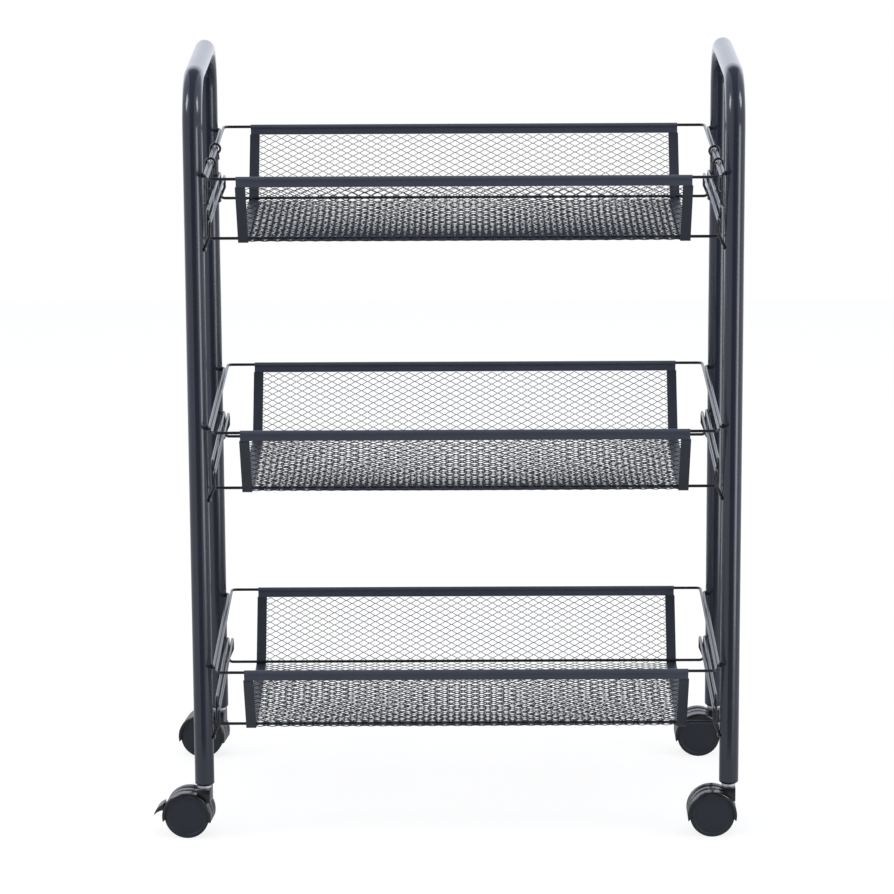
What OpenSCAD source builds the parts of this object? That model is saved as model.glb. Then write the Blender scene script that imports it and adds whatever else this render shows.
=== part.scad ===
// Three-tier utility cart: two tube side frames joined by wire-rimmed baskets of
// expanded metal, on four swivelling twin-wheel casters.
// The origin is on the floor, midway between the four swivel axes.
// +X is to the right, +Y to the rear and +Z up.

/* [Side frames] */
// Width across the outsides of the legs
cart_w = 450; // [400:5:560]
// Depth across the outsides of the legs
cart_d = 234; // [224:2:300]
// Height from the floor to the top of the handles
cart_h = 638; // [624:2:720]
// Outside diameter of the leg and handle tube
tube_d = 16; // [15:0.5:19]
// Wall thickness of the tube
tube_wall = 1.2; // [0.8:0.1:1.6]
// Centreline radius of the bend between leg and handle
handle_bend_r = 40; // [30:1:60]
// Height of the tube ends above the floor
leg_end_z = 45.6; // [45:0.2:52]
// Diameter of the rods welded between the legs
rod_d = 2.4; // [2:0.1:3.2]
// How far the upper rods run past the middle of the legs
rod_overrun = 3; // [1:0.5:5]
// How far the lower rods run below the baskets' base rails
base_rod_below = 6; // [3:0.5:9]
// Centreline radius of the bends in the lower rods
rod_bend_r = 4; // [3:0.5:6]
// How far the lower rods meet the legs below the base wire
base_rod_drop = 5; // [3:0.5:12]

/* [Baskets] */
// Height of the bottom basket's rim wire
rim_z_bottom = 145; // [130:1:175]
// Height of the middle basket's rim wire
rim_z_middle = 347; // [310:1:390]
// Height of the top basket's rim wire
rim_z_top = 555; // [520:1:570]
// Drop from the rim wire to the base wire
basket_drop = 55; // [48:1:70]
// Front-to-back distance between the rim wires
rim_depth = 253; // [248:1:262]
// Front-to-back distance between the base wires
base_depth = 180; // [172:1:186]
// Diameter of the basket wire
wire_d = 2.4; // [2:0.1:3.2]
// Centreline bend radius at the corners of the rim wire
rim_bend_r = 4; // [3:0.5:12]
// Centreline radius of the bends in the base wire
base_bend_r = 4; // [2.5:0.5:6]
// Rise of the base wire's side rails above its front and rear runs
rail_rise = 22; // [16:1:28]
// Gap between the base wire's side rails and the inner faces of the legs
rail_gap = 0.8; // [0.5:0.1:2]

/* [Mesh] */
// Width of the mesh sheet
sheet_w = 364; // [330:2:376]
// Thickness of the mesh sheet
sheet_t = 0.8; // [0.6:0.1:1.2]
// Width of the folded edging down each side of the sheet
edging_w = 7.5; // [6:0.5:10]
// Thickness of the folded strip used for edgings and hems
strip_t = 0.6; // [0.5:0.1:0.9]
// Height of the hem that wraps the rim wire
hem_h = 8.5; // [7.5:0.5:11]
// Width of a mesh strand
strand_w = 1.8; // [1.2:0.1:2.6]
// Columns of diamonds across the sheet
mesh_cols = 13; // [8:1:14]
// Rows of diamonds on the floor of a basket
mesh_rows_floor = 10; // [6:1:10]
// Rows of diamonds on a wall of a basket
mesh_rows_wall = 3; // [2:1:5]

/* [Hooks] */
// Diameter of the hook wire
hook_d = 2; // [1.4:0.1:2.2]
// Inside radius of the loop round the rails
hook_loop_r = 3; // [2.9:0.1:3.6]
// Centreline radius of the open lower end
hook_j_r = 3.4; // [3:0.1:4.5]
// Length from the middle of the loop to the middle of the lower end
hook_drop = 31.6; // [20:0.2:40]
// Place of the front left hook along the rails
hook_y_front_left = -48; // [-68:1:-36]
// Place of the rear left hook along the rails
hook_y_rear_left = 22; // [-8:1:68]
// Place of the front right hook along the rails
hook_y_front_right = -60; // [-68:1:-36]
// Place of the rear right hook along the rails
hook_y_rear_right = 0; // [-8:1:68]

/* [Casters] */
// Diameter of a wheel
wheel_d = 37; // [34:0.5:38]
// Width of a wheel
wheel_w = 8; // [7:0.5:12]
// Gap between the two wheels of a caster
wheel_gap = 9; // [8.6:0.2:12]
// Distance from the swivel axis back to the axle
trail = 13.8; // [12:0.2:18]
// Diameter of the axle
axle_d = 4; // [3:0.5:5]
// Wall thickness of the hood
hood_wall = 1.2; // [0.8:0.1:2]
// Height of the hood's lower edge above the floor, at the inside of its lip
hood_edge_z = 15.8; // [11:0.2:18]
// How far the hood's lower edge slopes down to its outside
hood_edge_slope = 2.6; // [0:0.2:4]
// Distance from the middle of the hood to each groove round its top
groove_y = 4; // [2:0.5:8]
// Depth of the grooves
groove_t = 0.35; // [0.1:0.05:0.5]
// Front-to-back size of the neck on the hood
neck_w = 10.6; // [9.5:0.2:13]
// Side-to-side size of the neck on the hood
neck_l = 17; // [10:0.5:22]
// Diameter of the stem where it turns in the hood
journal_d = 6; // [4:0.5:6.5]
// Diameter of the stem where it is held in the leg
shank_d = 8; // [7:0.5:9]
// Length of the stem inside the leg
shank_l = 34; // [25:1:45]
// Diameter of the bright collar on the stem
collar_d = 11; // [10:0.5:13]
// Thickness of the collar
collar_t = 2; // [0.8:0.1:2.4]
// Turn of the front left caster from straight sideways
turn_front_left = -6; // [-180:1:180]
// Turn of the front right caster
turn_front_right = 0; // [-180:1:180]
// Turn of the rear left caster
turn_rear_left = -8; // [-180:1:180]
// Turn of the rear right caster
turn_rear_right = 0.5; // [-180:1:180]

/* [Leg inserts] */
// Height of the chamfered lip below the tube end
lip_h = 2.2; // [1.6:0.2:3]
// Length of the plug inside the tube
plug_l = 38; // [36:1:50]

/* [Brake] */
// Width of the pedal's pad
pedal_w = 15; // [12:0.5:16]
// Width of the tongue that holds the pedal in the hood
tongue_w = 4.6; // [4:0.2:5]
// Diameter of the pedal's pin
brake_pin_d = 2; // [1.6:0.1:2.4]
// Reach of the pedal's tip behind the swivel axis
pedal_reach = 41.8; // [39:0.2:45]

/* [Hidden] */
$fn = 48;

// Clearances
seat_gap = 0.3;
weld_gap = 0.05;
run_gap = 0.06;
press_gap = 0.02;
fit_gap = 0.1;
face_gap = 0.2;
knuckle = 1.02;

// Colours, as the finishes look
coat = "#2f333b";
wire_black = "#1d1f22";
plastic_black = "#272a30";
bright_steel = "#c9ccd1";

levels = ["bottom", "middle", "top"];
corners = ["front_left", "front_right", "rear_left", "rear_right"];
places = ["front_left", "rear_left", "front_right", "rear_right"];
rim_z = [rim_z_bottom, rim_z_middle, rim_z_top];
turns = [turn_front_left, turn_front_right, turn_rear_left, turn_rear_right];
hook_ys = [hook_y_front_left, hook_y_rear_left, hook_y_front_right, hook_y_rear_right];

leg_x = (cart_w - tube_d) / 2;
leg_y = (cart_d - tube_d) / 2;
handle_z = cart_h - tube_d / 2;
bore_d = tube_d - 2 * tube_wall;

// Rods on the legs' inner faces, and the basket rails beside them
rim_rod_x = leg_x - tube_d / 2 - weld_gap - rod_d / 2;
rim_x = rim_rod_x - rod_d / 2 - face_gap - wire_d / 2;
base_x = leg_x - tube_d / 2 - rail_gap - wire_d / 2;
base_rod_x = base_x - wire_d / 2 - seat_gap - rod_d / 2;
base_rod_low = 6;

// Section of the mesh trough, seen from the side, with the rim wire at height 0
strip_half = sheet_t / 2 + fit_gap + strip_t;
fold_r = wire_d / 2 + seat_gap + strip_half;
bead_r = wire_d / 2 + fit_gap + strip_t;
hem_bottom = bead_r - hem_h;
wall_top = [rim_depth / 2, hem_bottom - sheet_t];
fold_centre = [base_depth / 2, -basket_drop];
reach = wall_top - fold_centre;
wall_l = sqrt(reach.x * reach.x + reach.y * reach.y - fold_r * fold_r);
wall_angle = atan2(reach.y, reach.x) - acos(fold_r / norm(reach)) + 90;
wall_normal = [sin(wall_angle), -cos(wall_angle)];
wall_foot = fold_centre + fold_r * wall_normal;
fold_steps = 6;
lattice_w = sheet_w - 2 * edging_w;

// Caster, with the swivel axis at x = 0 and the axle behind it at negative x
wheel_r = wheel_d / 2;
tread_gap = 0.7;
hood_in_r = wheel_r + tread_gap;
hood_r = hood_in_r + hood_wall;
side_lip_t = 0.8;
side_lip_r = wheel_r - 0.6;
side_gap = 0.4;
hood_half_w = wheel_gap / 2 + wheel_w + side_gap + side_lip_t;
web_w = wheel_gap - 2 * face_gap;
lip_z = leg_end_z - lip_h;
collar_z = lip_z - face_gap - collar_t;
neck_top = collar_z - face_gap;
journal_foot = 17;
axle_reach = wheel_gap / 2 + wheel_w - 2.5;

// Brake pedal, in the caster's own frame
pedal_arc_r = 14;
pedal_arc = [-pedal_reach + 13.2, wheel_r - 4.3];
pedal_cut_r = 12.2;
pedal_cut = [-pedal_reach + 9.3, wheel_r - 8.5];
pin_place = [-trail - 14.5, wheel_r + 6.8];
tongue_r = 2.6;
slot_w = pedal_w + 1.6;
pocket_w = tongue_w + 0.4;

// A straight round bar from one point to another
module bar(p, q, d) {
    v = q - p;
    translate(p)
        rotate([0, acos(v.z / norm(v)), atan2(v.y, v.x)])
            cylinder(h = norm(v), d = d);
}

// A piece of ring in the XY plane, from one angle over a sweep
module ring_piece(r, d, from, sweep) {
    rotate([0, 0, from]) rotate_extrude(angle = sweep) translate([r, 0]) circle(d = d);
}

// Turns a shape drawn in XY so that its X runs along Y and its Y runs up
module upright_y() rotate([90, 0, 90]) children();

// Turns a shape drawn in XY so that its X runs along X and its Y runs up
module upright_x() rotate([90, 0, 0]) children();

// One bent tube: two legs, two bends and the handle, at a given diameter
module frame_path(d, extra) {
    bend_y = leg_y - handle_bend_r;
    bend_z = handle_z - handle_bend_r;
    for (s = [-1, 1])
        translate([0, s * leg_y, leg_end_z - extra])
            cylinder(h = bend_z - leg_end_z + extra, d = d);
    translate([0, bend_y, bend_z]) upright_y() ring_piece(handle_bend_r, d, 0, 90);
    translate([0, -bend_y, bend_z]) upright_y() ring_piece(handle_bend_r, d, 90, 90);
    translate([0, 0, handle_z]) rotate([90, 0, 0]) cylinder(h = 2 * bend_y, d = d, center = true);
}

module side_frame(side) {
    color(coat)
        translate([side * leg_x, 0, 0])
            difference() {
                frame_path(tube_d, 0);
                frame_path(bore_d, 1);
            }
}

// Takes the space of one side's legs out of a rod, so that its ends seat on the tubes
module coped() {
    difference() {
        children();
        for (s = [-1, 1])
            translate([leg_x, s * leg_y, leg_end_z])
                cylinder(h = cart_h - leg_end_z, d = tube_d + 2 * weld_gap);
    }
}

// Straight rods lapped on the legs beside a basket's rim wire
module rim_rods(i) {
    color(wire_black)
        for (side = [-1, 1])
            translate([side * rim_rod_x, 0, rim_z[i]])
                rotate([90, 0, 0])
                    cylinder(h = 2 * (leg_y + rod_overrun), d = rod_d, center = true);
}

// Half of the rod beside a basket's base rail, with its bend down and out to the leg
module base_rod_half(z, run_z) {
    low = [base_rod_x, leg_y, z + base_rod_low];
    meet = [leg_x - tube_d / 2, leg_y, z - base_rod_drop];
    translate([base_rod_x, leg_y - rod_bend_r, run_z - rod_bend_r])
        upright_y() ring_piece(rod_bend_r, rod_d, 0, 90);
    bar(low, [base_rod_x, leg_y, run_z - rod_bend_r], rod_d);
    bar(low + 1.4 * (meet - low), low, rod_d);
    translate(low) sphere(d = rod_d * knuckle);
}

module base_rod(z) {
    run_z = z + rail_rise - base_rod_below;
    coped() {
        translate([base_rod_x, 0, run_z])
            rotate([90, 0, 0])
                cylinder(h = 2 * (leg_y - rod_bend_r), d = rod_d, center = true);
        for (s = [0, 1]) mirror([0, s, 0]) base_rod_half(z, run_z);
    }
}

module base_rods(i) {
    color(wire_black)
        for (side = [0, 1]) mirror([side, 0, 0]) base_rod(rim_z[i] - basket_drop);
}

// The closed wire round the top of a basket
module rim_wire(i) {
    x = rim_x - rim_bend_r;
    y = rim_depth / 2 - rim_bend_r;
    color(wire_black)
        translate([0, 0, rim_z[i]]) {
            for (s = [-1, 1]) {
                translate([s * rim_x, 0, 0])
                    rotate([90, 0, 0]) cylinder(h = 2 * y, d = wire_d, center = true);
                translate([0, s * rim_depth / 2, 0])
                    rotate([0, 90, 0]) cylinder(h = 2 * x, d = wire_d, center = true);
            }
            for (q = [0 : 3]) {
                sx = q == 0 || q == 3 ? 1 : -1;
                sy = q < 2 ? 1 : -1;
                translate([sx * x, sy * y, 0]) ring_piece(rim_bend_r, wire_d, q * 90, 90);
            }
        }
}

// The closed wire under a basket, with both side rails raised
module base_wire(i) {
    r = base_bend_r;
    y = base_depth / 2;
    color(wire_black)
        translate([0, 0, rim_z[i] - basket_drop]) {
            for (s = [-1, 1]) {
                translate([0, s * y, 0])
                    rotate([0, 90, 0]) cylinder(h = 2 * (base_x - r), d = wire_d, center = true);
                translate([s * base_x, 0, rail_rise])
                    rotate([90, 0, 0]) cylinder(h = 2 * (y - r), d = wire_d, center = true);
                for (side = [-1, 1])
                    translate([side * base_x, s * y, r])
                        cylinder(h = rail_rise - 2 * r, d = wire_d);
                translate([base_x - r, s * y, r])
                    upright_x() ring_piece(r, wire_d, -90, 90);
                translate([r - base_x, s * y, r])
                    upright_x() ring_piece(r, wire_d, 180, 90);
                translate([s * base_x, y - r, rail_rise - r])
                    upright_y() ring_piece(r, wire_d, 0, 90);
                translate([s * base_x, r - y, rail_rise - r])
                    upright_y() ring_piece(r, wire_d, 90, 90);
            }
        }
}

// Points round the rear fold at a distance from the middle of the sheet, from the wall down
function fold_points(off) = [
    for (k = [0 : fold_steps])
        let (a = -90 + wall_angle * (1 - k / fold_steps))
            fold_centre + (fold_r + off) * [cos(a), sin(a)]
];

// The same points for the front half, in the opposite order
function to_front(points) = [
    for (k = [len(points) - 1 : -1 : 0]) [-points[k].x, points[k].y]
];

// Joins an outer and an inner line into one closed outline
function closed(outer, inner) = concat(outer, [for (k = [len(inner) - 1 : -1 : 0]) inner[k]]);

function floor_line(off) = concat(fold_points(off), to_front(fold_points(off)));

// Where the wall bends upright below the hem
function wall_bend(off) =
    let (lean = (90 - wall_angle) / 2)
        wall_top + off / cos(lean) * [cos(lean), -sin(lean)];

function trough_line(off) =
    let (
        top = [wall_top.x + off, hem_bottom - fit_gap],
        half = concat([top, wall_bend(off)], fold_points(off))
    )
        concat(half, to_front(half));

// Wall from the fold to the hem, then straight up inside the hem
function wall_line(off, top) = [
    wall_foot + off * wall_normal + weld_gap * [cos(wall_angle), sin(wall_angle)],
    wall_bend(off),
    [wall_top.x + off, top]
];

// A section drawn from the side, run across the cart
module across(w) {
    upright_y() linear_extrude(height = w, center = true) children();
}

// Diamond openings over a field w wide and l long, with half diamonds at its edges
module diamond_holes(w, l, cols, rows, depth) {
    px = w / cols;
    py = l / rows;
    inset = strand_w / 2 * sqrt(px * px + py * py) / (px * py / 2);
    a = px / 2 * (1 - inset);
    b = py / 2 * (1 - inset);
    for (k = [0 : 2 * rows], j = [0 : cols - (k % 2 == 0 ? 1 : 0)]) {
        cx = -w / 2 + (j + (k % 2 == 0 ? 0.5 : 0)) * px;
        cy = k * py / 2;
        translate([0, 0, -depth / 2])
            linear_extrude(height = depth)
                polygon([
                    for (v = [[-a, 0], [0, -b], [a, 0], [0, b]])
                        [max(-w / 2, min(w / 2, cx + v.x)), max(0, min(l, cy + v.y))]
                ]);
    }
}

// The floor of a basket with the folds that turn up round the base wires
module basket_floor(i) {
    color(coat)
        translate([0, 0, rim_z[i]])
            difference() {
                across(sheet_w)
                    polygon(closed(floor_line(sheet_t / 2), floor_line(-sheet_t / 2)));
                translate([0, strand_w - base_depth / 2, -basket_drop - fold_r])
                    diamond_holes(lattice_w, base_depth - 2 * strand_w, mesh_cols,
                        mesh_rows_floor, 2 * sheet_t);
            }
}

// A sloping wall of a basket, drawn at the rear
module basket_wall() {
    top = -wire_d / 2 - sheet_t;
    difference() {
        across(sheet_w) polygon(closed(wall_line(sheet_t / 2, top), wall_line(-sheet_t / 2, top)));
        translate([0, wall_foot.x, wall_foot.y])
            rotate([wall_angle, 0, 0])
                translate([0, strand_w, 0])
                    diamond_holes(lattice_w, wall_l - 2 * strand_w, mesh_cols,
                        mesh_rows_wall, 3 * sheet_t);
    }
}

module basket_rear(i) {
    color(coat) translate([0, 0, rim_z[i]]) basket_wall();
}

module basket_front(i) {
    color(coat) translate([0, 0, rim_z[i]]) mirror([0, 1, 0]) basket_wall();
}

// Strip closed round the rim wire and down both faces of the wall's top edge
module hem() {
    slot = sheet_t / 2 + fit_gap;
    flange = slot + strip_t;
    across(sheet_w)
        difference() {
            union() {
                circle(r = bead_r);
                translate([-flange, hem_bottom]) square([2 * flange, -hem_bottom]);
            }
            circle(r = wire_d / 2 + fit_gap);
            translate([-slot, hem_bottom - 1]) square([2 * slot, 1 - hem_bottom]);
        }
}

module basket_hems(i) {
    color(coat)
        for (s = [-1, 1]) translate([0, s * rim_depth / 2, rim_z[i]]) hem();
}

// Folded strip along one side of the sheet: down one wall, under the floor and up the other
module edging() {
    slot = sheet_t / 2 + fit_gap;
    outer_w = edging_w + fit_gap + strip_t;
    difference() {
        translate([(sheet_w + edging_w) / 2 + fit_gap + strip_t - edging_w - (outer_w - edging_w) / 2, 0, 0])
            across(outer_w)
                polygon(closed(trough_line(strip_half), trough_line(-strip_half)));
        across(sheet_w + 2 * fit_gap)
            polygon(closed(trough_line(slot), trough_line(-slot)));
    }
}

module basket_edgings(i) {
    color(coat)
        translate([0, 0, rim_z[i]])
            for (side = [0, 1]) mirror([side, 0, 0]) edging();
}

// Hook of bent wire on the right-hand rails, seen from the front: loop, shank and open end
module hook_shape() {
    rc = hook_loop_r + hook_d / 2;
    hold = hook_loop_r - wire_d / 2 - seat_gap;
    half_pair = (rim_rod_x - rim_x) / 2;
    loop = [rim_x + half_pair, -sqrt(hold * hold - half_pair * half_pair)];
    lower = [loop.x + rc - 0.6 + hook_j_r, loop.y - hook_drop];
    tip_angle = 240;
    shank_top = loop + rc * [1, 0];
    shank_foot = lower - [hook_j_r, 0];
    tip = loop + rc * [cos(tip_angle), sin(tip_angle)];
    tail = tip - [0.4, 5];
    j_end = lower + hook_j_r * [cos(20), sin(20)];
    translate([loop.x, 0, loop.y]) upright_x() ring_piece(rc, hook_d, 0, tip_angle);
    translate([lower.x, 0, lower.y]) upright_x() ring_piece(hook_j_r, hook_d, 180, 200);
    bar([shank_foot.x, 0, shank_foot.y], [shank_top.x, 0, shank_top.y], hook_d);
    bar([tail.x, 0, tail.y], [tip.x, 0, tip.y], hook_d);
    for (p = [shank_top, shank_foot, tip, j_end, tail])
        translate([p.x, 0, p.y]) sphere(d = hook_d * knuckle);
}

module hook(n) {
    color(wire_black)
        translate([0, hook_ys[n], rim_z_top])
            mirror([n < 2 ? 1 : 0, 0, 0]) hook_shape();
}

// Puts a caster piece at its corner, turned as that caster stands
module at_corner(c) {
    x = c % 2 == 0 ? -leg_x : leg_x;
    y = c < 2 ? -leg_y : leg_y;
    translate([x, y, 0]) rotate([0, 0, turns[c]]) children();
}

// Plastic plug in the tube end, with a chamfered lip below the tube
module leg_insert(c) {
    color(plastic_black)
        at_corner(c)
            difference() {
                rotate_extrude()
                    polygon([
                        [0, lip_z],
                        [tube_d / 2 - 1.8, lip_z],
                        [tube_d / 2, lip_z + lip_h - 0.6],
                        [tube_d / 2, leg_end_z],
                        [bore_d / 2 - fit_gap, leg_end_z],
                        [bore_d / 2 - fit_gap, leg_end_z + plug_l - 2],
                        [bore_d / 2 - 1, leg_end_z + plug_l],
                        [0, leg_end_z + plug_l]
                    ]);
                translate([0, 0, lip_z - 1]) cylinder(h = shank_l + 2, d = shank_d + 2 * press_gap);
            }
}

// Steel stem: a journal in the hood, a bright collar and a shank with a groove in the insert
module stem(c) {
    groove = 0.6;
    color(bright_steel)
        at_corner(c)
            rotate_extrude()
                polygon([
                    [0, journal_foot],
                    [journal_d / 2 - 0.5, journal_foot],
                    [journal_d / 2, journal_foot + 0.5],
                    [journal_d / 2, collar_z],
                    [collar_d / 2, collar_z],
                    [collar_d / 2, collar_z + collar_t],
                    [shank_d / 2, collar_z + collar_t],
                    [shank_d / 2, lip_z + shank_l - 8],
                    [shank_d / 2 - groove, lip_z + shank_l - 8],
                    [shank_d / 2 - groove, lip_z + shank_l - 6],
                    [shank_d / 2, lip_z + shank_l - 6],
                    [shank_d / 2, lip_z + shank_l - 1],
                    [shank_d / 2 - 1, lip_z + shank_l],
                    [0, lip_z + shank_l]
                ]);
}

// A disc or tube on the axle's line, with a given width
module on_axle(r, w) {
    translate([-trail, 0, wheel_r]) rotate([90, 0, 0]) cylinder(h = w, r = r, center = true);
}

// Outside of the hood: a drum with bevelled rims and two fine grooves round it
module hood_drum() {
    bevel = 0.6;
    groove_half = 0.6;
    rim = [[hood_r - bevel, hood_half_w], [hood_r, hood_half_w - bevel]];
    groove = [
        [hood_r, groove_y + groove_half],
        [hood_r - groove_t, groove_y],
        [hood_r, groove_y - groove_half]
    ];
    half = concat(rim, groove);
    other = [for (i = [len(half) - 1 : -1 : 0]) [half[i].x, -half[i].y]];
    translate([-trail, 0, wheel_r])
        rotate([90, 0, 0])
            rotate_extrude() polygon(concat([[0, hood_half_w]], half, other, [[0, -hood_half_w]]));
}

// All that lies below the hood's lower edge, which slopes down at both ends
module below_hood() {
    outer_z = hood_edge_z - hood_edge_slope;
    translate([-trail, 0, 0])
        upright_x()
            linear_extrude(height = 4 * hood_half_w, center = true)
                polygon([
                    [-2 * hood_r, -hood_r],
                    [-2 * hood_r, outer_z],
                    [-hood_r, outer_z],
                    [-side_lip_r, hood_edge_z],
                    [side_lip_r, hood_edge_z],
                    [hood_r, outer_z],
                    [2 * hood_r, outer_z],
                    [2 * hood_r, -hood_r]
                ]);
}

// Hood: a web between the wheels, a cover over both, lips at its sides and a neck for the stem
module hood_body() {
    neck_foot = wheel_r + hood_in_r - 8;
    difference() {
        union() {
            difference() {
                hood_drum();
                on_axle(side_lip_r, 2 * hood_half_w + 2);
            }
            on_axle(hood_r - hood_wall / 2, web_w);
            translate([-neck_w / 2, -neck_l / 2, neck_foot])
                cube([neck_w, neck_l, neck_top - neck_foot]);
        }
        for (s = [-1, 1])
            translate([-trail, s * (wheel_gap + wheel_w + side_gap - face_gap) / 2, wheel_r])
                rotate([90, 0, 0])
                    cylinder(h = wheel_w + side_gap + face_gap, r = hood_in_r, center = true);
        below_hood();
    }
    difference() {
        on_axle(wheel_r - 2, web_w);
        translate([-trail - 2 * hood_r, -2 * hood_half_w, hood_edge_z])
            cube([4 * hood_r, 4 * hood_half_w, 2 * hood_r]);
    }
}

module hood(c) {
    color(plastic_black)
        at_corner(c)
            difference() {
                hood_body();
                translate([0, 0, journal_foot - 0.5])
                    cylinder(h = neck_top, d = journal_d + 2 * run_gap);
                on_axle(axle_d / 2 + press_gap, wheel_gap);
                if (c == 0) brake_space();
            }
}

module axle(c) {
    color(bright_steel) at_corner(c) on_axle(axle_d / 2, 2 * axle_reach);
}

// Wheel drawn on its own axis: a closed outer face and a hub and rim round a hollow inner side
module wheel_shape() {
    hub_r = axle_d / 2 + 2.6;
    rim_in_r = wheel_r - 2.5;
    disc_t = 2;
    rotate_extrude()
        polygon([
            [0, wheel_w - 0.5],
            [wheel_r - 3.6, wheel_w - 0.5],
            [wheel_r - 3, wheel_w],
            [wheel_r - 1, wheel_w],
            [wheel_r, wheel_w - 1],
            [wheel_r, 0.6],
            [wheel_r - 0.6, 0],
            [rim_in_r, 0],
            [rim_in_r, wheel_w - disc_t],
            [hub_r, wheel_w - disc_t],
            [hub_r, 0],
            [axle_d / 2 + run_gap, 0],
            [axle_d / 2 + run_gap, axle_reach - wheel_gap / 2 + face_gap],
            [0, axle_reach - wheel_gap / 2 + face_gap]
        ]);
}

// The near wheel has its face to the front, the far wheel to the rear
module wheel(c, side) {
    color(plastic_black)
        at_corner(c)
            translate([-trail, side * wheel_gap / 2, wheel_r])
                rotate([-90 * side, 0, 0]) wheel_shape();
}

// Side view of the pedal: a crescent outside the hood and a tongue back to the pin
module pedal_outline() {
    difference() {
        translate(pedal_arc) circle(r = pedal_arc_r);
        translate(pedal_cut) circle(r = pedal_cut_r);
        translate([-trail - hood_r + 0.2, pedal_cut.y - 2 * pedal_arc_r])
            square(4 * pedal_arc_r);
        translate([-2 * pedal_reach, pedal_cut.y - 2 * pedal_arc_r])
            square([2 * pedal_reach, 2 * pedal_arc_r]);
    }
}

module tongue_outline() {
    difference() {
        hull() {
            translate(pin_place) circle(r = tongue_r);
            translate([-trail - hood_r + 1, pin_place.y - 1.2]) circle(r = tongue_r);
        }
        translate(pin_place) circle(d = brake_pin_d + 2 * run_gap);
    }
}

// Runs an outline drawn from the side across the caster
module pedal_across(w) {
    upright_x() linear_extrude(height = w, center = true) children();
}

module brake_pedal() {
    color(plastic_black)
        at_corner(0) {
            pedal_across(pedal_w) pedal_outline();
            pedal_across(tongue_w) tongue_outline();
        }
}

// Room in the front left hood for the pedal at rest and pressed
module brake_space() {
    across_room = 2 * hood_half_w;
    translate([-trail - hood_r - 2, -slot_w / 2, wheel_r - 2.5])
        cube([4.6, slot_w, 13.5]);
    translate([-trail - hood_r - 2, -pocket_w / 2, pin_place.y - tongue_r - 3])
        cube([hood_r + 2 - 10, pocket_w, 2 * tongue_r + 4]);
    translate([pin_place.x, 0, pin_place.y])
        rotate([90, 0, 0])
            cylinder(h = across_room, d = brake_pin_d + 2 * press_gap, center = true);
}

module brake_pin() {
    color(bright_steel)
        at_corner(0)
            translate([pin_place.x, 0, pin_place.y])
                rotate([90, 0, 0]) cylinder(h = web_w, d = brake_pin_d, center = true);
}

side_frame(-1);  // side_frame_left
side_frame(1);  // side_frame_right
for (i = [0 : 2]) {
    rim_rods(i);
    base_rods(i);
    basket_floor(i);
    basket_front(i);
    basket_rear(i);
    rim_wire(i);
    base_wire(i);
    basket_hems(i);
    basket_edgings(i);
}
for (n = [0 : 3]) {
    hook(n);
}
for (c = [0 : 3]) {
    leg_insert(c);
    stem(c);
    hood(c);
    axle(c);
    wheel(c, -1);
    wheel(c, 1);
}
brake_pedal();
brake_pin();
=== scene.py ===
import bpy
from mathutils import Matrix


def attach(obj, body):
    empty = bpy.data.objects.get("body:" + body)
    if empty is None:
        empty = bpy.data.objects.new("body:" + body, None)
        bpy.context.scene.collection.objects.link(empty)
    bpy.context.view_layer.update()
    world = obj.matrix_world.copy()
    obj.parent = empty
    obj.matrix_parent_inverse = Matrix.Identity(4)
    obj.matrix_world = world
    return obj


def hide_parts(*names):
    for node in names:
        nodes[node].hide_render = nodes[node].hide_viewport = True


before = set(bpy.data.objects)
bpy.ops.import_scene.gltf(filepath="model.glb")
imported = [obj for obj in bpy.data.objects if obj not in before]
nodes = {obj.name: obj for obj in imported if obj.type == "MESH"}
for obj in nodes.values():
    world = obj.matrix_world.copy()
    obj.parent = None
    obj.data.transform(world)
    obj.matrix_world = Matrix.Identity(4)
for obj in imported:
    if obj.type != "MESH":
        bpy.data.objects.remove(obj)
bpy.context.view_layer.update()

import bpy
import math
from mathutils import Matrix, Vector

# Side frames: each is one length of 16 mm steel tube, bent twice at the top into a handle.
# They are electrostatically powder coated in a dark blue-grey, which flows into a smooth
# gloss with a very fine orange peel.

MM = 0.001
MIX_A, MIX_B, MIX_RESULT = 6, 7, 2  # a Mix node's colour sockets


def hex_colour(code):
    """sRGB hex to a linear colour with alpha."""
    parts = [int(code[i:i + 2], 16) / 255 for i in (1, 3, 5)]
    return [c / 12.92 if c <= 0.04045 else ((c + 0.055) / 1.055) ** 2.4 for c in parts] + [1]


def add_node(tree, kind, settings=None, links=None):
    """A shader node with its settings, its plain socket values and its incoming links."""
    node = tree.nodes.new(kind)
    for name, value in (settings or {}).items():
        if name in node.inputs:
            node.inputs[name].default_value = value
        else:
            setattr(node, name, value)
    for name, source in (links or {}).items():
        tree.links.new(source, node.inputs[name])
    return node


def start_material(name, shader):
    """A new material with a Principled surface, and its node tree."""
    material = bpy.data.materials.new(name)
    material.use_nodes = True
    tree = material.node_tree
    tree.nodes.clear()
    surface = add_node(tree, "ShaderNodeBsdfPrincipled", shader)
    add_node(tree, "ShaderNodeOutputMaterial", links={"Surface": surface.outputs["BSDF"]})
    return material, tree, surface


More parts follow.
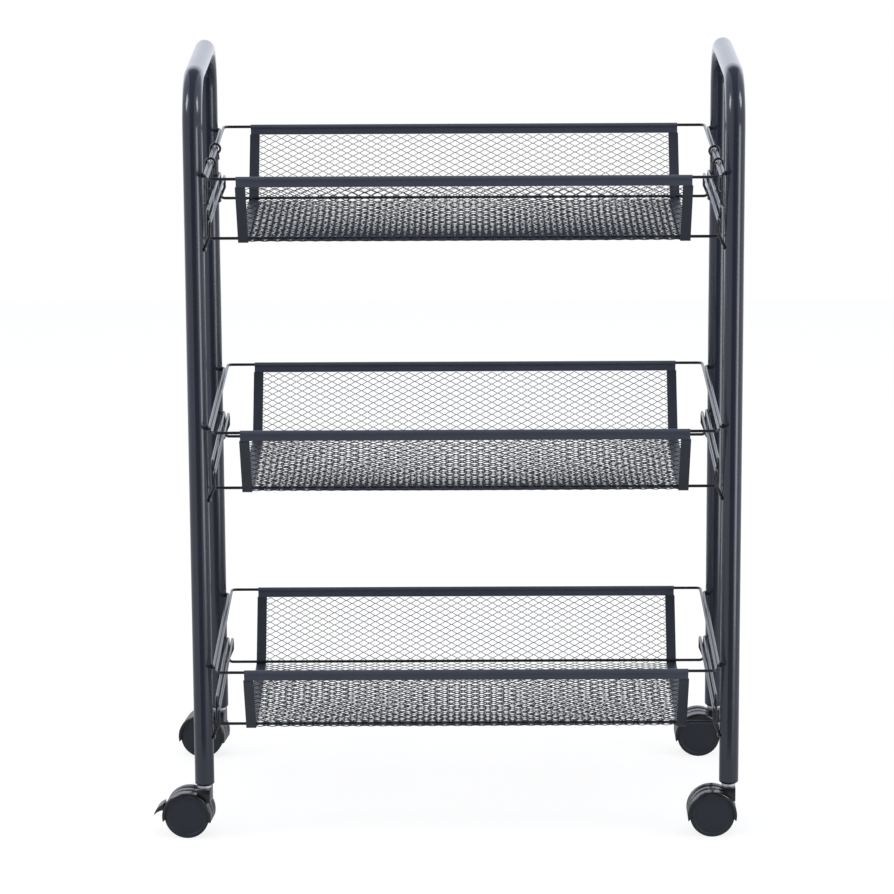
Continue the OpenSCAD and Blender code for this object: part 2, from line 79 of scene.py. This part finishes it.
def clouded(name, shader, tones, cloud, gloss, grain, relief):
    """A material whose shade and roughness drift in clouds, under a fine grain in relief.

    cloud and grain are a size and a detail, gloss is the lowest and highest roughness, and
    relief is a strength and a depth.
    """
    material, tree, surface = start_material(name, shader)
    where = add_node(tree, "ShaderNodeTexCoord").outputs["Object"]
    drift, fine = [add_node(tree, "ShaderNodeTexNoise", {"Scale": 1 / size, "Detail": detail},
                            {"Vector": where}).outputs["Fac"] for size, detail in (cloud, grain)]
    shade = add_node(tree, "ShaderNodeMix", {"data_type": "RGBA"}, {"Factor": drift})
    for socket, code in zip((MIX_A, MIX_B), tones):
        shade.inputs[socket].default_value = hex_colour(code)
    dullness = add_node(tree, "ShaderNodeMapRange", {"To Min": gloss[0], "To Max": gloss[1]},
                        {"Value": drift})
    bump = add_node(tree, "ShaderNodeBump", {"Strength": relief[0], "Distance": relief[1]},
                    {"Height": fine})
    for source, socket in ((shade.outputs[MIX_RESULT], "Base Color"),
                           (dullness.outputs["Result"], "Roughness"),
                           (bump.outputs["Normal"], "Normal")):
        tree.links.new(source, surface.inputs[socket])
    return material


def powder_coat(name, tones, gloss, peel_depth, clear=0.6):
    """Baked powder coat, with an orange peel 2.6 mm across under its smooth flowed skin."""
    return clouded(name, {"IOR": 1.5, "Coat Weight": clear, "Coat Roughness": 0.1}, tones,
                   cloud=(24 * MM, 3.0), gloss=(gloss - 0.03, gloss + 0.05),
                   grain=(2.6 * MM, 2.0), relief=(0.35, peel_depth))


def finish_cad(names, material):
    """Gives CAD nodes a better material through their own slots."""
    for name in names:
        for place in nodes[name].material_slots:
            place.material = material


tube_coat = powder_coat("Powder coated steel tube", ("#1d212d", "#242834"), 0.2, 0.004 * MM)
finish_cad(["side_frame_left", "side_frame_right"], tube_coat)

# Rods between the legs: drawn steel wire, resistance welded to the tubes before coating.
# The coat lies thinner on wire and looks nearly black. Each joint keeps a small bead, drawn
# out along the rod and rippled where the weld froze.

LEVELS = ("bottom", "middle", "top")
RIM_Z = {"bottom": 145 * MM, "middle": 347 * MM, "top": 555 * MM}
DROP = 55 * MM                            # from the rim wire down to the base wire
LEG_X, LEG_Y, TUBE_R = 217 * MM, 109 * MM, 8 * MM
JOINT_X = LEG_X - TUBE_R - 0.5 * MM       # just inboard of the leg
JOINT_Z = (0, -DROP - 5 * MM)             # the rim rod's joint and the base rod's
BEAD = Vector((1.5, 4.2, 2.0)) * MM       # half its size
RIPPLE, RIPPLE_TURN = 0.07, 9

wire_coat = powder_coat("Powder coated steel wire", ("#101219", "#161922"), 0.3, 0.002 * MM)
finish_cad([f"{kind}_rods_{level}" for kind in ("rim", "base") for level in LEVELS], wire_coat)


def select_only(*pieces):
    """Selects these objects and nothing else, with the first one active."""
    bpy.ops.object.select_all(action="DESELECT")
    for piece in pieces:
        piece.select_set(True)
    bpy.context.view_layer.objects.active = pieces[0]


def copy_of(piece, shift=(0, 0, 0)):
    """A copy with its own mesh, moved in its mesh."""
    twin = piece.copy()
    twin.data = piece.data.copy()
    bpy.context.scene.collection.objects.link(twin)
    twin.data.transform(Matrix.Translation(shift))
    return twin


def finish_piece(piece, name, material, body, smooth_angle):
    """Names a finished mesh, shades it, and sets what it rides on."""
    piece.name = piece.data.name = name
    piece.data.materials.clear()
    piece.data.materials.append(material)
    select_only(piece)
    bpy.ops.object.transform_apply(location=True, rotation=True, scale=True)
    bpy.ops.object.shade_smooth_by_angle(angle=math.radians(smooth_angle))
    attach(piece, body)


bpy.ops.object.select_all(action="DESELECT")
bpy.ops.mesh.primitive_uv_sphere_add(segments=20, ring_count=12, radius=1)
bead = bpy.context.object
for v in bead.data.vertices:
    swell = 1 + RIPPLE * math.sin(RIPPLE_TURN * v.co.y) * (1 - abs(v.co.y))
    v.co = Vector((v.co.x * BEAD.x, v.co.y * BEAD.y, v.co.z * BEAD.z * swell))
beads = [copy_of(bead, (side * JOINT_X, end * LEG_Y, height + RIM_Z[level]))
         for level in LEVELS for height in JOINT_Z for side in (-1, 1) for end in (-1, 1)]
bpy.data.objects.remove(bead)
select_only(*beads)
bpy.ops.object.join()
finish_piece(beads[0], "weld_beads", wire_coat, "cart", smooth_angle=60)

# Basket wires: a closed rim wire and a closed base wire per basket, bent from drawn steel
# wire and butt welded. They carry the same thin dark coat as the rods.

finish_cad([f"{level}_basket_{wire}" for level in LEVELS for wire in ("rim_wire", "base_wire")],
           wire_coat)

# Basket sheets: expanded steel, slit and pulled into diamonds of 10.2 by 5.6 mm, then folded
# up at the front and rear round the base wires. Its strands stand twisted and catch the light
# on one face, and the thin floors sag under their own weight, each a little differently.

BASE_Y = 90 * MM                                 # the base wire's front and rear runs
WALL_TOP = Vector((126.5 * MM, -7.5 * MM))       # the sheet's end, inside the hem
FOLD_R = 2.6 * MM
SHEET_HALF_W = 181.6 * MM
WAVES = 35                                       # diamonds in a row
ROWS = 54                                        # from the front hem to the rear one
STRAND_W, STRAND_T = 0.72 * MM, 0.32 * MM
STRAND_TILT = math.radians(-42)
BOND = 0.16                                      # the part of a half wave joined to the next row
MERGE_GAP = 0.05 * MM                            # strand ends this close become one
SAG = {"bottom": 7 * MM, "middle": 10 * MM, "top": 6 * MM}

fold_centre = Vector((BASE_Y, -DROP))
reach = WALL_TOP - fold_centre
wall_length = math.sqrt(reach.length_squared - FOLD_R ** 2)
wall_angle = math.atan2(reach.y, reach.x) - math.acos(FOLD_R / reach.length) + math.pi / 2
fold_length = FOLD_R * wall_angle
half_length = BASE_Y + fold_length + wall_length
wave = 2 * SHEET_HALF_W / (WAVES + 0.5)
row = 2 * half_length / ROWS


def on_trough(along, off):
    """Where a point of the flat sheet lies, from its place along the sheet and its offset."""
    side, s = (1 if along >= 0 else -1), abs(along)
    if s <= BASE_Y:
        place = Vector((s, -DROP - FOLD_R + off))
    elif s <= BASE_Y + fold_length:
        turned = (s - BASE_Y) / FOLD_R
        place = fold_centre + (FOLD_R - off) * Vector((math.sin(turned), -math.cos(turned)))
    else:
        direction = Vector((math.cos(wall_angle), math.sin(wall_angle)))
        normal = Vector((math.sin(wall_angle), -math.cos(wall_angle)))
        place = fold_centre + (FOLD_R - off) * normal + (s - BASE_Y - fold_length) * direction
    return side * place.x, place.y


def sag_at(x, along, depth):
    """How far the floor hangs down there: nothing at its edges and most in its middle."""
    return depth * max(0, 1 - (x / SHEET_HALF_W) ** 2) * max(0, 1 - (along / BASE_Y) ** 2)


bpy.ops.object.select_all(action="DESELECT")
bpy.ops.mesh.primitive_circle_add(vertices=4, radius=0.5, fill_type="NOTHING")
strand = bpy.context.object
for v, (a, b) in zip(strand.data.vertices, ((-1, -1), (1, -1), (1, 1), (-1, 1))):
    y, z = a * STRAND_W / 2, b * STRAND_T / 2
    v.co = Vector((0, y * math.cos(STRAND_TILT) - z * math.sin(STRAND_TILT) - row / 4,
                   y * math.sin(STRAND_TILT) + z * math.cos(STRAND_TILT)))
bpy.ops.object.mode_set(mode="EDIT")
bpy.ops.mesh.select_all(action="SELECT")
for run, rise in ((BOND / 2, 0), (1 - BOND, row / 2), (BOND, 0), (1 - BOND, -row / 2),
                  (BOND / 2, 0)):
    bpy.ops.mesh.extrude_region_move(TRANSFORM_OT_translate={"value": (run * wave / 2, rise, 0)})
bpy.ops.object.mode_set(mode="OBJECT")
for count, step in ((WAVES, (wave, 0, 0)), (2, (wave / 2, row / 2, 0)), (ROWS, (0, row, 0))):
    repeat = strand.modifiers.new("Repeat", "ARRAY")
    repeat.use_relative_offset = False
    repeat.use_constant_offset = True
    repeat.constant_offset_displace = step
    repeat.count = count
    repeat.use_merge_vertices = step[1] == 0
    repeat.merge_threshold = MERGE_GAP
    bpy.ops.object.modifier_apply(modifier=repeat.name)
bpy.ops.object.mode_set(mode="EDIT")
bpy.ops.mesh.select_all(action="SELECT")
bpy.ops.mesh.fill_holes(sides=4)
bpy.ops.mesh.normals_make_consistent(inside=False)
bpy.ops.object.mode_set(mode="OBJECT")
mesh_coat = powder_coat("Powder coated expanded steel", ("#1c202c", "#252a38"), 0.34, 0.002 * MM,
                        clear=0.4)
for level in LEVELS:
    sheet = copy_of(strand)
    for v in sheet.data.vertices:
        x, along = v.co.x - SHEET_HALF_W, v.co.y - half_length + row / 4
        y, z = on_trough(along, v.co.z)
        v.co = Vector((x, y, z - sag_at(x, along, SAG[level]) + RIM_Z[level]))
    finish_piece(sheet, f"{level}_basket_mesh", mesh_coat, "cart", smooth_angle=30)
    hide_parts(*[f"{level}_basket_{part}" for part in ("floor", "front", "rear")])
bpy.data.objects.remove(strand)

# Hems and edgings: strips of thin sheet steel, closed over the rim wire and over the cut sides
# of the mesh in a press, then coated with the rest. The flat hems lie open to the light, and that
# light is painted into their coat, which is coloured greyer than the rest; the narrow edgings are
# coloured a little darker than the hems.

# The hems' greyer tones are painted light, for the light falling on the open flat hems.
hem_coat_painted_light = powder_coat("Powder coated hem strip with painted light", ("#3e424d", "#464a55"), 0.36, 0.006 * MM,
                       clear=0.15)
edging_coat = powder_coat("Powder coated edging strip", ("#262a33", "#2d313a"), 0.38, 0.006 * MM,
                          clear=0.1)
finish_cad([f"{level}_basket_hems" for level in LEVELS], hem_coat_painted_light)
finish_cad([f"{level}_basket_edgings" for level in LEVELS], edging_coat)

# Hooks: thin drawn wire, closed round both rails at the top and left open below, with the
# thin dark coat of the rods.

finish_cad([f"hook_{end}_{side}" for end in ("front", "rear") for side in ("left", "right")],
           wire_coat)

# Caster fixings: a black nylon plug is pressed into each leg, and holds a turned steel stem
# whose zinc plated collar shows as a bright ring. The mould's grain and the turning marks are
# finer than a render can show, so both are drawn as coarse as 0.6 mm.

CORNERS = ("front_left", "front_right", "rear_left", "rear_right")
PLUG_RADIUS = 0.3 * MM
FINE_GRAIN = 0.6 * MM
SAME_POINT = 0.002 * MM
FLAT_ANGLE, EDGE_ANGLE = math.radians(0.5), math.radians(40)


def moulded(name, tones, gloss, grain_depth, shine=0.5):
    """Moulded nylon: faint flow clouding and the fine grain of a spark-eroded mould."""
    return clouded(name, {"IOR": 1.53, "Specular IOR Level": shine}, tones,
                   cloud=(9 * MM, 4.0), gloss=(gloss - 0.05, gloss + 0.08),
                   grain=(FINE_GRAIN, 1.0), relief=(0.3, grain_depth))


black_nylon = moulded("Black moulded nylon", ("#050609", "#090a0e"), 0.22, 0.006 * MM, shine=0.65)


def eased_copy(node, name, width, body):
    """Stands for a CAD node: its own shape, with the small radii of a moulding on every edge."""
    piece = nodes[node].copy()
    piece.data = nodes[node].data.copy()
    piece.parent = None
    piece.matrix_world = nodes[node].matrix_world.copy()
    bpy.context.scene.collection.objects.link(piece)
    select_only(piece)
    bpy.ops.object.mode_set(mode="EDIT")
    bpy.ops.mesh.select_all(action="SELECT")
    bpy.ops.mesh.remove_doubles(threshold=SAME_POINT)
    bpy.ops.mesh.dissolve_limited(angle_limit=FLAT_ANGLE)
    bpy.ops.object.mode_set(mode="OBJECT")
    ease = piece.modifiers.new("Ease", "BEVEL")
    ease.width = width
    ease.segments = 2
    ease.limit_method = "ANGLE"
    ease.angle_limit = EDGE_ANGLE
    ease.harden_normals = False
    bpy.ops.object.modifier_apply(modifier=ease.name)
    finish_piece(piece, name, black_nylon, body, smooth_angle=30)
    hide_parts(node)


for corner in CORNERS:
    eased_copy(f"insert_{corner}", f"moulded_insert_{corner}", PLUG_RADIUS, "cart")

zinc, zinc_tree, zinc_surface = start_material(
    "Zinc plated steel", {"Metallic": 0.7, "Base Color": hex_colour("#f2f3f6")})
zinc_where = add_node(zinc_tree, "ShaderNodeTexCoord").outputs["Object"]
turning = add_node(zinc_tree, "ShaderNodeTexNoise", {"Scale": 1 / FINE_GRAIN, "Detail": 2.0},
                   {"Vector": zinc_where})
sheen = add_node(zinc_tree, "ShaderNodeMapRange", {"To Min": 0.34, "To Max": 0.5},
                 {"Value": turning.outputs["Fac"]})
zinc_tree.links.new(sheen.outputs["Result"], zinc_surface.inputs["Roughness"])
finish_cad([f"{part}_{corner}" for part in ("stem", "axle") for corner in CORNERS]
           + ["brake_pin"], zinc)

# Hoods, wheels and pedal: each caster is a black nylon hood over two wheels on one steel axle.
# The hood comes glossy from its mould, with two fine lines round its top, and the wheels have
# the dull skin of a textured mould. The front left hood carries a brake pedal.

HOOD_RADIUS, PEDAL_RADIUS = 0.25 * MM, 0.3 * MM

wheel_nylon = moulded("Textured moulded nylon", ("#1e2129", "#252832"), 0.55, 0.03 * MM)
finish_cad([f"wheel_{side}_{corner}" for side in ("near", "far") for corner in CORNERS],
           wheel_nylon)
for corner in CORNERS:
    eased_copy(f"hood_{corner}", f"moulded_hood_{corner}", HOOD_RADIUS, f"caster_{corner}")
eased_copy("brake_pedal", "moulded_brake_pedal", PEDAL_RADIUS, "pedal")

# Studio floor: a sheet of matt pale paper under the cart and well behind it. The camera sees
# it two thirds as a plain white glow, and the other third keeps the cart's faint shadow. The
# cart itself is lit by the paper alone.

FLOOR_SIZE, FLOOR_PLACE = 2.4, (0, 0.86, 0)
GLOW_STRENGTH, GLOW_SHARE = 1.28, 0.66

floor_paint, floor_tree, floor_surface = start_material(
    "Pale studio floor", {"Base Color": hex_colour("#bcbcbc"), "Roughness": 0.9,
                          "Specular IOR Level": 0.1})
floor_rays = add_node(floor_tree, "ShaderNodeLightPath")
floor_glow = add_node(floor_tree, "ShaderNodeEmission", {"Strength": GLOW_STRENGTH})
floor_share = add_node(floor_tree, "ShaderNodeMath", {"operation": "MULTIPLY"},
                       {0: floor_rays.outputs["Is Camera Ray"]})
floor_share.inputs[1].default_value = GLOW_SHARE
floor_blend = add_node(floor_tree, "ShaderNodeMixShader",
                       links={0: floor_share.outputs[0], 1: floor_surface.outputs["BSDF"],
                              2: floor_glow.outputs["Emission"]})
floor_end = [node for node in floor_tree.nodes if node.type == "OUTPUT_MATERIAL"][0]
floor_tree.links.new(floor_blend.outputs[0], floor_end.inputs["Surface"])
bpy.ops.object.select_all(action="DESELECT")
bpy.ops.mesh.primitive_plane_add(size=FLOOR_SIZE, location=FLOOR_PLACE)
floor = bpy.context.object
floor.name = "studio_floor"
floor.data.materials.append(floor_paint)

# Studio walls: a bright one behind the cart and weaker ones at both sides, dim in front and
# overhead, so that each tube shows a dark middle between two long soft lights. The camera
# itself sees plain white.

REAR_EDGE, REAR_GLOW = (0.78, 0.88), (0.2, 1.25)
SIDE_EDGE, SIDE_GLOW = (0.38, 0.46), (0.0, 0.62)
FLOAT_A, FLOAT_B = 2, 3  # a Mix node's plain number sockets

world = bpy.data.worlds.new("Studio")
world.use_nodes = True
bpy.context.scene.world = world
sky = world.node_tree
sky.nodes.clear()
sky_where = add_node(sky, "ShaderNodeTexCoord").outputs["Generated"]
sky_axes = add_node(sky, "ShaderNodeSeparateXYZ", links={"Vector": sky_where})
off_centre = add_node(sky, "ShaderNodeMath", {"operation": "ABSOLUTE"}, {0: sky_axes.outputs["X"]})
rear_glow, side_glow = [
    add_node(sky, "ShaderNodeMapRange", {"From Min": edge[0], "From Max": edge[1],
                                         "To Min": glow[0], "To Max": glow[1]}, {"Value": source})
    for edge, glow, source in ((REAR_EDGE, REAR_GLOW, sky_axes.outputs["Y"]),
                               (SIDE_EDGE, SIDE_GLOW, off_centre.outputs[0]))]
sky_glow = add_node(sky, "ShaderNodeMath", {"operation": "ADD"},
                    {0: rear_glow.outputs["Result"], 1: side_glow.outputs["Result"]})
sky_rays = add_node(sky, "ShaderNodeLightPath")
sky_strength = add_node(sky, "ShaderNodeMix", {"data_type": "FLOAT"},
                        {"Factor": sky_rays.outputs["Is Camera Ray"]})
sky.links.new(sky_glow.outputs[0], sky_strength.inputs[FLOAT_A])
sky_strength.inputs[FLOAT_B].default_value = 1.0
sky_tint = add_node(sky, "ShaderNodeMix", {"data_type": "RGBA"},
                    {"Factor": sky_rays.outputs["Is Camera Ray"]})
for socket, code in ((MIX_A, "#e6eaf6"), (MIX_B, "#ffffff")):
    sky_tint.inputs[socket].default_value = hex_colour(code)
sky_back = add_node(sky, "ShaderNodeBackground",
                    links={"Strength": sky_strength.outputs[0],
                           "Color": sky_tint.outputs[MIX_RESULT]})
add_node(sky, "ShaderNodeOutputWorld", links={"Surface": sky_back.outputs["Background"]})

# Lamps: one large softbox overhead and a fill in front, neither of them mirrored in the gloss,
# two softboxes that draw the short highlights on the handle bends, and a low strip on the
# right. Each has a place, an aim, a width and height in metres and a power in watts.

LAMP_TINT = (0.94, 0.96, 1.0)

for lamp_name, place, aim, width, height, watts, mirrored in (
        ("Overhead softbox", (0, 0.1, 2.8), (0, 0.1, 0.3), 3.2, 3.2, 52, False),
        ("Right strip", (1.97, -1.54, 0.05), (0, 0, 0.05), 0.95, 1.1, 10.5, True),
        ("Left softbox", (-2.1, -0.6, 1.95), (0, 0, 0.6), 0.8, 0.9, 15, True),
        ("Right softbox", (2.1, -0.6, 1.95), (0, 0, 0.6), 0.8, 0.9, 15, True),
        ("Front fill", (-0.9, -2.5, 2.6), (0, 0, 0.3), 1.6, 1.6, 20, False)):
    lamp = bpy.data.lights.new(lamp_name, "AREA")
    lamp.shape = "RECTANGLE"
    lamp.size, lamp.size_y, lamp.energy = width, height, watts
    lamp.color = LAMP_TINT
    holder = bpy.data.objects.new(lamp_name, lamp)
    bpy.context.scene.collection.objects.link(holder)
    holder.location = place
    holder.rotation_euler = (Vector(aim) - Vector(place)).to_track_quat("-Z", "Y").to_euler()
    holder.visible_camera = False
    holder.visible_glossy = mirrored

# Camera: far off and a little above the handles, looking down at about 14 degrees. Its place,
# turns and lens were fitted to the legs, rims and casters of the photograph.

CAMERA_PLACE = (0.00265, -3.5141, 1.16094)
PITCH, YAW, ROLL = 0.23926, 0.00511, -0.0054
FOCAL_PX, FRAME_PX, SENSOR = 4311.6, 894, 36

camera = bpy.data.objects.new("Camera", bpy.data.cameras.new("Camera"))
bpy.context.scene.collection.objects.link(camera)
camera.data.sensor_width = SENSOR
camera.data.lens = FOCAL_PX * SENSOR / FRAME_PX
camera.matrix_world = (Matrix.Translation(CAMERA_PLACE) @ Matrix.Rotation(YAW, 4, "Z")
                       @ Matrix.Rotation(math.pi / 2 - PITCH, 4, "X")
                       @ Matrix.Rotation(ROLL, 4, "Z"))
bpy.context.scene.camera = camera
bpy.context.scene.view_settings.view_transform = "Standard"
